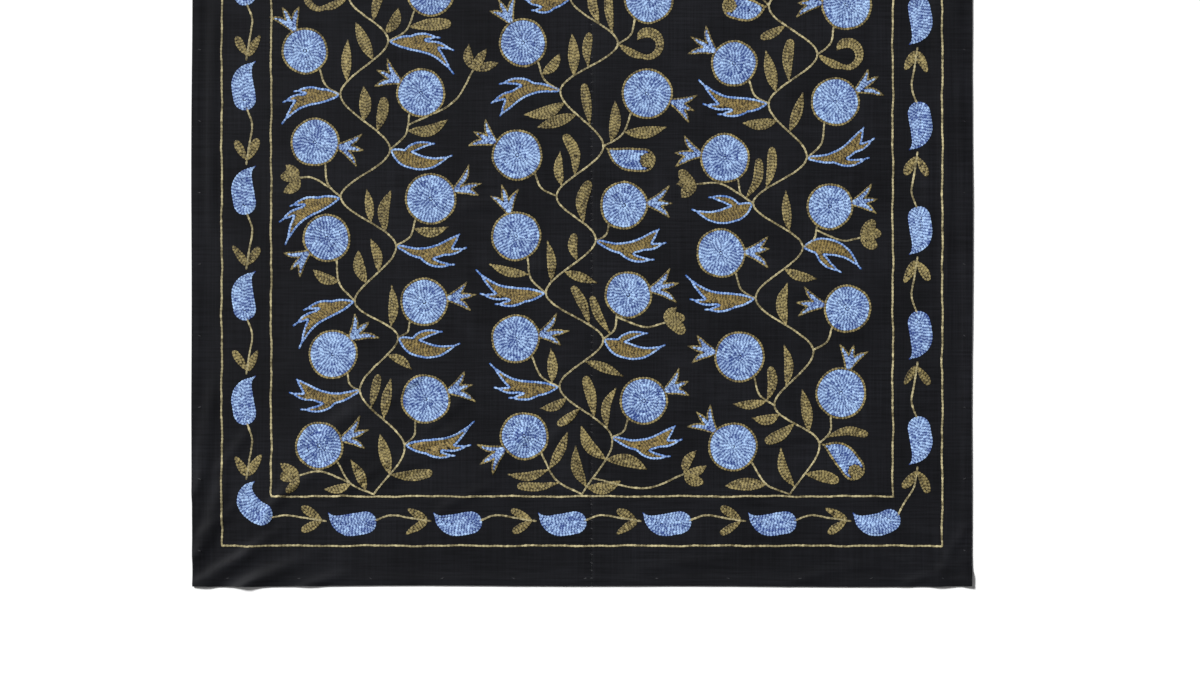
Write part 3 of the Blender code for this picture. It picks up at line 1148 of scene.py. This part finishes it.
def new_material(name):
    material = bpy.data.materials.new(name)
    material.use_nodes = True
    return material, material.node_tree, material.node_tree.nodes["Principled BSDF"]


def thread_material(name, dark, light, dip_shade):
    """Glossy twisted silk thread, with painted shade where a stitch dips into the cloth."""
    material, tree, surface = new_material(name)
    tone = add_node(
        tree, "ShaderNodeGroup", node_tree=tree_once("Thread Tone", thread_tone_and_shade_group)
    )
    tone.inputs["Dark"].default_value = (*dark, 1.0)
    tone.inputs["Light"].default_value = (*light, 1.0)
    # Strength of the painted shade where a stitch dips.
    tone.inputs["Dip Shade"].default_value = dip_shade
    tree.links.new(tone.outputs["Color"], surface.inputs["Base Color"])
    bump = add_node(tree, "ShaderNodeBump", [("Strength", 0.35), ("Distance", 0.0002)])
    tree.links.new(tone.outputs["Ply"], bump.inputs["Height"])
    tree.links.new(bump.outputs[0], surface.inputs["Normal"])
    surface.inputs["Roughness"].default_value = 0.5
    surface.inputs["Specular IOR Level"].default_value = 0.35
    return material


def silk_material(name, silk):
    """Black silk with the low sheen of a hand-loomed cloth."""
    material, tree, surface = new_material(name)
    weave = add_node(tree, "ShaderNodeGroup", node_tree=tree_once("Silk Weave", silk_weave_group))
    weave.inputs["Silk"].default_value = (*silk, 1.0)
    tree.links.new(weave.outputs["Color"], surface.inputs["Base Color"])
    tree.links.new(weave.outputs["Roughness"], surface.inputs["Roughness"])
    bump = add_node(tree, "ShaderNodeBump", [("Strength", 0.30), ("Distance", 0.0003)])
    tree.links.new(weave.outputs["Height"], bump.inputs["Height"])
    tree.links.new(bump.outputs[0], surface.inputs["Normal"])
    surface.inputs["Specular IOR Level"].default_value = 0.09
    return material


# ---------------------------------------------------------------------------------------------
# Making pieces
# ---------------------------------------------------------------------------------------------
THREADS = {
    BLUE: ("Blue silk thread", "blue_dark", "blue_light"),
    GOLD: ("Gold silk thread", "gold_dark", "gold_light"),
    PALE: ("Pale blue silk thread", "pale_dark", "pale_light"),
    BROWN: ("Brown silk thread", "brown_dark", "brown_light"),
    STRAW: ("Straw silk thread", "line_dark", "line_light"),
    "black": ("Black sewing thread", "silk", "sewing"),
}
SIDES = ("left", "right")
EMBROIDERY = {side: [] for side in SIDES}
OVERLAP = 1.5  # a stitch starts inside the one before it
FILL_DIP_SHADE = 1.15  # how much painted shade darkens a thread where it dips into the cloth
# How much painted shade darkens the straw stem and line thread where it dips.
LINE_DIP_SHADE = 0.50
SUNK = 0.12  # share of its height by which a stitch lies in the cloth


def thread(context, dye_name):
    title, dark, light = THREADS[dye_name]
    colours = context.scene.suzani_colours
    dip_shade = LINE_DIP_SHADE if dye_name == STRAW else FILL_DIP_SHADE
    return bpy.data.materials.get(title) or thread_material(
        title, getattr(colours, dark), getattr(colours, light), dip_shade
    )


def stitch_points(name, stitches, relief):
    """A mesh with one loose point for each stitch, holding its direction, size and tone."""
    middle = (stitches.start + stitches.end) / 2
    run = stitches.end - stitches.start
    length = np.hypot(*run.T)
    up = face_normals(*middle.T)
    heading = np.column_stack([run / length[:, None], np.zeros(len(run))])
    heading -= up * (heading * up).sum(axis=1)[:, None]
    height = face_height(*middle.T) + relief * (0.5 - SUNK)
    size = np.column_stack([length * OVERLAP, stitches.width, np.full(len(run), relief)])
    mesh = bpy.data.meshes.new(name)
    mesh.from_pydata(np.column_stack([middle, height]).tolist(), [], [])
    for attribute, values in (("heading", heading), ("up", up), ("size", size)):
        mesh.attributes.new(attribute, "FLOAT_VECTOR", "POINT").data.foreach_set("vector", values.ravel())
    mesh.attributes.new("tone", "FLOAT", "POINT").data.foreach_set("value", stitches.tone)
    return mesh


def add_stitches(context, name, stitches, dye_name, bends, relief_share):
    """One piece of embroidery, made by the chain stitch tree and then kept as a plain mesh."""
    relief = context.scene.suzani_stitches.relief * relief_share
    points = stitch_points(name + "_points", stitches, relief)
    piece = bpy.data.objects.new(name, points)
    context.scene.collection.objects.link(piece)
    tree = tree_once("Chain Stitches", chain_stitch_tree)
    modifier = piece.modifiers.new("Chain stitches", "NODES")
    modifier.node_group = tree
    sockets = {item.name: item.identifier for item in tree.interface.items_tree if item.in_out == "INPUT"}
    modifier[sockets["Thread"]] = thread(context, dye_name)
    modifier[sockets["Bends per Strand"]] = bends
    modifier[sockets["Seed"]] = SEED + len(name)
    context.view_layer.update()
    made = bpy.data.meshes.new_from_object(piece.evaluated_get(context.evaluated_depsgraph_get()))
    piece.modifiers.remove(modifier)
    piece.data = made
    made.name = name
    bpy.data.meshes.remove(points)
    for attribute in ("heading", "up", "size"):
        if attribute in made.attributes:
            made.attributes.remove(made.attributes[attribute])
    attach(piece, "root")
    return piece


def add_sided(context, name, stitches, dye_name, bends=2, relief_share=1.0):
    """The same embroidery as two pieces, one for each length of silk."""
    middle_x = (stitches.start[:, 0] + stitches.end[:, 0]) / 2
    for side, there in zip(SIDES, (middle_x < SEAM_X, middle_x >= SEAM_X)):
        if there.any():
            here = kept(stitches, there)
            piece = add_stitches(context, f"{name}_{side}", here, dye_name, bends, relief_share)
            EMBROIDERY[side].append(piece)


def fill_stitches(context, rows, wanted, rng):
    """All stitches of the rows in the wanted thread, at the size of a filled shape."""
    settings = context.scene.suzani_stitches
    return joined([
        stitched(row, settings.fill_pitch, settings.fill_width, rng) for row in rows if row.thread == wanted
    ])


def line_stitches(context, paths, rng, closed=False, tone=0.5, width_share=1.0):
    settings = context.scene.suzani_stitches
    return joined([
        stitched(Row(path, closed, STRAW, tone), settings.line_pitch, settings.line_width * width_share, rng)
        for path in paths
    ])


def fruit_outline(fruit, rng):
    """Radius of a hand-drawn circle in each direction, as a function of the angle."""
    phases = rng.uniform(0.0, 2 * math.pi, 3)
    shares = rng.uniform(0.004, 0.014, 3)
    return lambda angle: fruit.radius * CM * (
        1.0 + sum(s * np.sin(k * angle + p) for k, s, p in zip((2, 3, 5), shares, phases))
    )


def fruit_rows(fruit, spacing, rng):
    """A gold ring round blue rings that close on the middle of the fruit."""
    centre = on_cloth((fruit.x, fruit.y))
    outline = fruit_outline(fruit, rng)
    angle = np.linspace(0.0, 2 * math.pi, 72, endpoint=False) + rng.uniform(0.0, 6.0)
    direction = np.column_stack([np.cos(angle), np.sin(angle)])
    count = round(fruit.radius * CM / spacing)
    tone = rng.uniform(0.44, 0.56)
    rows = []
    for k in range(count):
        share = 1.0 - (k + 0.5) / count
        path = centre + direction * (outline(angle) * share)[:, None]
        path = np.roll(path, rng.integers(len(path)), axis=0)
        rows.append(Row(path, True, BLUE, tone) if k else Row(path, True, GOLD, 0.5, OUTLINE_SHARE))
    return rows


class SUZANI_OT_lay_silk(bpy.types.Operator):
    """Lays the two lengths of black silk, with their hems, seam, folds and creases"""

    bl_idname = "suzani.lay_silk"
    bl_label = "Lay Silk"

    def execute(self, context):
        silk = silk_material("Black silk", context.scene.suzani_colours.silk)
        for side, edge_x, edge_turn, seam_x in (
            ("left", -WIDTH / 2, 0.7, SEAM_X - SEAM_GAP / 2),
            ("right", WIDTH / 2, 3.1, SEAM_X + SEAM_GAP / 2),
        ):
            name = f"silk_{side}"
            mesh, thick = panel_mesh(name, edge_x, edge_turn, seam_x)
            panel = bpy.data.objects.new(name, mesh)
            context.scene.collection.objects.link(panel)
            mesh.materials.append(silk)
            group = panel.vertex_groups.new(name="thickness")
            for index, share in enumerate(thick / HEM_THICKNESS):
                group.add([index], float(share), "REPLACE")
            thicken = panel.modifiers.new("Cloth thickness", "SOLIDIFY")
            thicken.thickness = HEM_THICKNESS
            thicken.offset = 1.0
            thicken.vertex_group = group.name
            context.view_layer.update()
            made = bpy.data.meshes.new_from_object(
                panel.evaluated_get(context.evaluated_depsgraph_get())
            )
            panel.modifiers.clear()
            panel.vertex_groups.clear()
            panel.data = made
            bpy.data.meshes.remove(mesh)
            made.name = name
            made.shade_smooth()
            made.set_sharp_from_angle(angle=math.radians(50))
            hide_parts(f"panel_{side}")
            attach(panel, "root")
        return {"FINISHED"}


class SUZANI_OT_stitch_pomegranates(bpy.types.Operator):
    """Stitches the pomegranates in rings of blue with a gold outline, and their crowns"""

    bl_idname = "suzani.stitch_pomegranates"
    bl_label = "Stitch Pomegranates"

    def execute(self, context):
        rng = np.random.default_rng(SEED)
        spacing = context.scene.suzani_stitches.row_spacing
        bodies = []
        crowns = []
        for fruit in garden().fruits:
            bodies += fruit_rows(fruit, spacing, rng)
            crowns += filled_rows(crown_motif(fruit, rng), GOLD, BLUE, 0.5, spacing * 0.9, rng)
        for name, dye_name in (("pomegranates", BLUE), ("pomegranate_outlines", GOLD)):
            body = fill_stitches(context, bodies, dye_name, rng)
            crown = clear_of_fruits(fill_stitches(context, crowns, dye_name, rng), 0.0004)
            add_sided(context, name, joined([body, crown]), dye_name)
        return {"FINISHED"}


class SUZANI_OT_stitch_leaves(bpy.types.Operator):
    """Stitches the gold leaves, curled leaves and flowers"""

    bl_idname = "suzani.stitch_leaves"
    bl_label = "Stitch Leaves"

    def execute(self, context):
        rng = np.random.default_rng(SEED + 1)
        spacing = context.scene.suzani_stitches.row_spacing
        rows = []
        for motif in garden().leaves:
            rows += filled_rows(motif, GOLD, GOLD, rng.uniform(0.42, 0.58), spacing, rng)
        stitches = clear_of_fruits(fill_stitches(context, rows, GOLD, rng), 0.0008)
        add_sided(context, "leaves", stitches, GOLD)
        return {"FINISHED"}


class SUZANI_OT_stitch_plumes(bpy.types.Operator):
    """Stitches the pronged plumes, brown inside a pale blue outline, and the flower buds"""

    bl_idname = "suzani.stitch_plumes"
    bl_label = "Stitch Plumes and Buds"

    def execute(self, context):
        rng = np.random.default_rng(SEED + 2)
        spacing = context.scene.suzani_stitches.row_spacing
        rows = []
        for motif in garden().plumes:
            rows += filled_rows(motif, PALE, BROWN, 0.5, spacing, rng)
        for name, dye_name in (("plume_outlines", PALE), ("plume_fills", BROWN)):
            stitches = clear_of_fruits(fill_stitches(context, rows, dye_name, rng), 0.0008)
            add_sided(context, name, stitches, dye_name)

        rows = []
        caps = []
        for bud in garden().buds:
            rows += filled_rows(bud.body, GOLD, BLUE, 0.5, spacing, rng)
            cap = Fruit(*bud.cap, 0.0)
            rows += [row._replace(thread=GOLD) for row in fruit_rows(cap, spacing, rng)]
            caps.append((*on_cloth(bud.cap[:2]), bud.cap[2] * CM))
        outlines = clear_of_fruits(fill_stitches(context, rows, GOLD, rng), 0.0008)
        fills = clear_of_fruits(fill_stitches(context, rows, BLUE, rng), 0.0008)
        add_sided(context, "bud_outlines", outlines, GOLD)
        add_sided(context, "buds", clear_of_discs(fills, caps, 0.0), BLUE)
        return {"FINISHED"}


def tendril_path(tendril):
    """A stem that curls up in a closing spiral."""
    stem = smooth_path(tendril.stem)
    centre = on_cloth((tendril.x, tendril.y))
    leave = stem[-1] - centre
    count = max(8, round(abs(tendril.turns) * 26))
    share = np.linspace(0.0, 1.0, count)
    angle = math.atan2(leave[1], leave[0]) + tendril.turns * 2 * math.pi * share
    reach = np.hypot(*leave) * (1.0 - 0.66 * share)
    spiral = centre + np.column_stack([np.cos(angle), np.sin(angle)]) * reach[:, None]
    return evened(np.vstack([stem[:-1], spiral]), 0.001)


class SUZANI_OT_stitch_stems(bpy.types.Operator):
    """Stitches the vine's stems and its curled tendrils in single rows"""

    bl_idname = "suzani.stitch_stems"
    bl_label = "Stitch Stems and Tendrils"

    def execute(self, context):
        rng = np.random.default_rng(SEED + 3)
        paths = [smooth_path(stem) for stem in garden().stems]
        paths += [tendril_path(tendril) for tendril in garden().tendrils]
        stitches = clear_of_fruits(line_stitches(context, paths, rng), -0.0005)
        add_sided(context, "stems", stitches, STRAW, bends=3)
        return {"FINISHED"}


def border_middle():
    """The middle of the border as a closed line with round corners, and the way it runs there."""
    side = HALF_WIDTH - (OUTER_SIDE + INNER_SIDE) / 2 - CORNER_RADIUS
    end = HEAD / 2 - (OUTER_END + INNER_END) / 2 - CORNER_RADIUS
    points = []
    for quarter, (right, up) in enumerate(((1, -1), (1, 1), (-1, 1), (-1, -1))):
        for turn in np.radians(np.linspace(-90, 0, 10) + 90 * quarter):
            points.append((
                right * side + CORNER_RADIUS * math.cos(turn),
                HEAD / 2 + up * end + CORNER_RADIUS * math.sin(turn),
            ))
    line = evened(np.array(points + points[:1]), BORDER_STEP)
    way = np.gradient(line, axis=0)
    return line, way / np.hypot(*way.T)[:, None]


def in_chain(line, way, start):
    """A function that puts a chain unit's own points on the border, bent along with it."""

    def place(point):
        at = round((start + point[0]) / BORDER_STEP) % len(line)
        return (line[at][0] - point[1] * way[at][1], line[at][1] + point[1] * way[at][0])

    return place


def chain_places():
    """A place function for every unit of the chain, evenly spaced round the border."""
    line, way = border_middle()
    length = len(line) * BORDER_STEP
    count = round(length / UNIT_LENGTH)
    return [in_chain(line, way, length * unit / count) for unit in range(count)]


def sprig_blades(rng):
    """Two leaves that point back from the top of the stem, a little different in every unit."""
    apex_x, apex_y = SPRIG_APEX
    leaves = []
    for side in (-1, 1):
        turn = math.radians(180 - side * SPRIG_LEAN * rng.uniform(0.85, 1.2))
        length = rng.uniform(3.2, 3.8)
        run_x, run_y = length * math.cos(turn), length * math.sin(turn)
        middle = (apex_x + 0.5 * run_x, apex_y + 0.5 * run_y + side * 0.12)
        tip = (apex_x + run_x, apex_y + run_y)
        form = CLUB if rng.uniform() < 0.6 else ARROW
        start = (apex_x + 0.3, apex_y)
        leaves.append(Blade(rng.uniform(1.25, 1.5), form, (start, middle, tip)))
    return tuple(leaves)


class SUZANI_OT_stitch_border(bpy.types.Operator):
    """Stitches the border: a chain of butas and sprigs between two frame lines"""

    bl_idname = "suzani.stitch_border"
    bl_label = "Stitch Border"

    def execute(self, context):
        rng = np.random.default_rng(SEED + 4)
        spacing = context.scene.suzani_stitches.row_spacing
        butas = []
        sprigs = []
        lines = []
        for place in chain_places():
            butas += filled_rows(moved(BUTA, place), BLUE, BLUE, rng.uniform(0.42, 0.55), spacing, rng)
            lines.append(smooth_path([place(point) for point in CHAIN_STEM]))
            motif = moved(sprig_blades(rng), place)
            sprigs += filled_rows(motif, GOLD, GOLD, rng.uniform(0.42, 0.58), spacing, rng)
        add_sided(context, "border_butas", fill_stitches(context, butas, BLUE, rng), BLUE)
        add_sided(context, "border_sprigs", fill_stitches(context, sprigs, GOLD, rng), GOLD)

        frames = []
        for side, end in ((OUTER_SIDE, OUTER_END), (INNER_SIDE, INNER_END)):
            x = HALF_WIDTH - side
            corners = on_cloth([(-x, end), (x, end), (x, HEAD - end), (-x, HEAD - end)])
            path = evened(np.vstack([corners, corners[:1]]), 0.004)[:-1]
            wander = np.arange(len(path)) * 0.004
            path[:, 0] += 0.0009 * waver(wander * 9.0, 1.3)
            path[:, 1] += 0.0009 * waver(wander * 9.0, 2.9)
            frames.append(path)
        stitches = joined([
            line_stitches(context, lines, rng), line_stitches(context, frames, rng, closed=True, tone=0.55)
        ])
        add_sided(context, "border_lines", stitches, STRAW, bends=3)
        return {"FINISHED"}


class SUZANI_OT_stitch_seam(bpy.types.Operator):
    """Sews the black tacks of the hem and the small stitches across the seam"""

    bl_idname = "suzani.stitch_seam"
    bl_label = "Sew Seam and Hem"

    def execute(self, context):
        rng = np.random.default_rng(SEED + 5)
        tack = 0.0035
        across = np.arange(TACK_STEP / 2 - HALF_WIDTH, HALF_WIDTH, TACK_STEP)
        rise = np.arange(TACK_STEP / 2, HEAD - 3.0, TACK_STEP)
        ends = [(x, y) for x in across for y in (TACK_HEIGHT, HEAD - TACK_HEIGHT)]
        sides = [(sign * (HALF_WIDTH - TACK_HEIGHT), y) for sign in (-1, 1) for y in rise]
        spots = on_cloth(ends + sides)
        seam_y = np.arange(-LENGTH / 2 + 0.012, LENGTH / 2 - 0.012, 0.0125)
        seam_y = seam_y + rng.uniform(-0.002, 0.002, len(seam_y))
        crossing = np.column_stack([np.full(len(seam_y), SEAM_X), seam_y])
        middle = np.vstack([spots, crossing])
        heading = rng.uniform(-0.5, 0.5, len(middle))
        half = np.column_stack([np.cos(heading), np.sin(heading)]) * tack / 2
        tone = rng.uniform(0.0, 0.3, len(middle))
        stitches = Stitches(middle - half, middle + half, np.full(len(middle), 0.0016), tone)
        add_sided(context, "sewing", stitches, "black", relief_share=0.5)
        return {"FINISHED"}


# ---------------------------------------------------------------------------------------------
# Stage
# ---------------------------------------------------------------------------------------------
VIEW_RIGHT = 0.0277  # the view's middle, right of the cloth's middle
VIEW_UP = 0.3654  # and up from its lower edge
VIEW_WIDTH = 1.846
FLOOR_SIZE = 24.0


def sunlight(context, name, heading, height, strength, softness):
    """Even light from a compass heading and a height above the floor, all in degrees."""
    data = bpy.data.lights.new(name, "SUN")
    data.energy = strength
    data.angle = math.radians(softness)
    lamp = bpy.data.objects.new(name, data)
    context.scene.collection.objects.link(lamp)
    turn, rise = math.radians(heading), math.radians(height)
    out = (math.cos(rise) * math.cos(turn), math.cos(rise) * math.sin(turn), math.sin(rise))
    lamp.location = tuple(3.0 * value for value in out)
    lamp.rotation_euler = look_along(tuple(-value for value in out))


def look_along(direction):
    """Euler angles that point an object's -Z along the direction."""
    x, y, z = direction
    return (math.atan2(math.hypot(x, y), -z), 0.0, math.atan2(-x, y))


class SUZANI_OT_set_stage(bpy.types.Operator):
    """Sets a plain white floor, soft light from the upper left and a camera straight above"""

    bl_idname = "suzani.set_stage"
    bl_label = "Set Stage"

    def execute(self, context):
        scene = context.scene
        light = scene.suzani_light
        half = FLOOR_SIZE / 2
        mesh = bpy.data.meshes.new("floor")
        corners = [(-half, -half, 0), (half, -half, 0), (half, half, 0), (-half, half, 0)]
        mesh.from_pydata(corners, [], [(0, 1, 2, 3)])
        floor = bpy.data.objects.new("floor", mesh)
        scene.collection.objects.link(floor)
        material, _, surface = new_material("White floor")
        surface.inputs["Base Color"].default_value = (0.93, 0.93, 0.93, 1.0)
        surface.inputs["Roughness"].default_value = 0.9
        surface.inputs["Specular IOR Level"].default_value = 0.1
        mesh.materials.append(material)

        world = bpy.data.worlds.new("Pale room")
        world.use_nodes = True
        world.node_tree.nodes["Background"].inputs["Color"].default_value = (1.0, 1.0, 1.0, 1.0)
        world.node_tree.nodes["Background"].inputs["Strength"].default_value = light.sky
        scene.world = world
        sunlight(context, "Key", 140.0, 36.0, light.key, 14.0)
        sunlight(context, "Fill", -50.0, 40.0, light.fill, 40.0)

        data = bpy.data.cameras.new("Camera")
        data.lens = light.lens
        camera = bpy.data.objects.new("Camera", data)
        scene.collection.objects.link(camera)
        height = VIEW_WIDTH * light.lens / data.sensor_width
        camera.location = (VIEW_RIGHT, -LENGTH / 2 + VIEW_UP, height)
        scene.camera = camera
        scene.view_settings.view_transform = "Standard"
        return {"FINISHED"}


class SUZANI_PT_sidebar(bpy.types.Panel):
    """Lists the steps that make the hanging"""

    bl_idname = "SUZANI_PT_sidebar"
    bl_label = "Suzani Hanging"
    bl_space_type = "VIEW_3D"
    bl_region_type = "UI"
    bl_category = "Suzani"

    def draw(self, context):
        for operator in OPERATORS:
            self.layout.operator(operator.bl_idname)
        for name in SETTINGS:
            group = getattr(context.scene, name)
            box = self.layout.box()
            for setting in type(group).__annotations__:
                box.prop(group, setting)


SETTINGS = {
    "suzani_stitches": SUZANI_PG_stitches,
    "suzani_colours": SUZANI_PG_colours,
    "suzani_light": SUZANI_PG_light,
}
OPERATORS = (
    SUZANI_OT_set_stage,
    SUZANI_OT_lay_silk,
    SUZANI_OT_stitch_pomegranates,
    SUZANI_OT_stitch_leaves,
    SUZANI_OT_stitch_plumes,
    SUZANI_OT_stitch_stems,
    SUZANI_OT_stitch_border,
    SUZANI_OT_stitch_seam,
)
CLASSES = (*SETTINGS.values(), *OPERATORS, SUZANI_PT_sidebar)


def register():
    for item in CLASSES:
        bpy.utils.register_class(item)
    for name, group in SETTINGS.items():
        setattr(bpy.types.Scene, name, bpy.props.PointerProperty(type=group))


def unregister():
    for name in SETTINGS:
        delattr(bpy.types.Scene, name)
    for item in reversed(CLASSES):
        bpy.utils.unregister_class(item)


def declare_sheets():
    """Looks up each length of silk and lists the embroidery on it."""
    for side, finished in (("left", WIDTH / 2 + SEAM_X), ("right", WIDTH / 2 - SEAM_X)):
        bpy.data.objects[f"silk_{side}"]
        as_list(EMBROIDERY[side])


def main():
    register()
    for operator in OPERATORS:
        group, name = operator.bl_idname.split(".")
        getattr(getattr(bpy.ops, group), name)()
    declare_sheets()


if __name__ == "__main__":
    main()
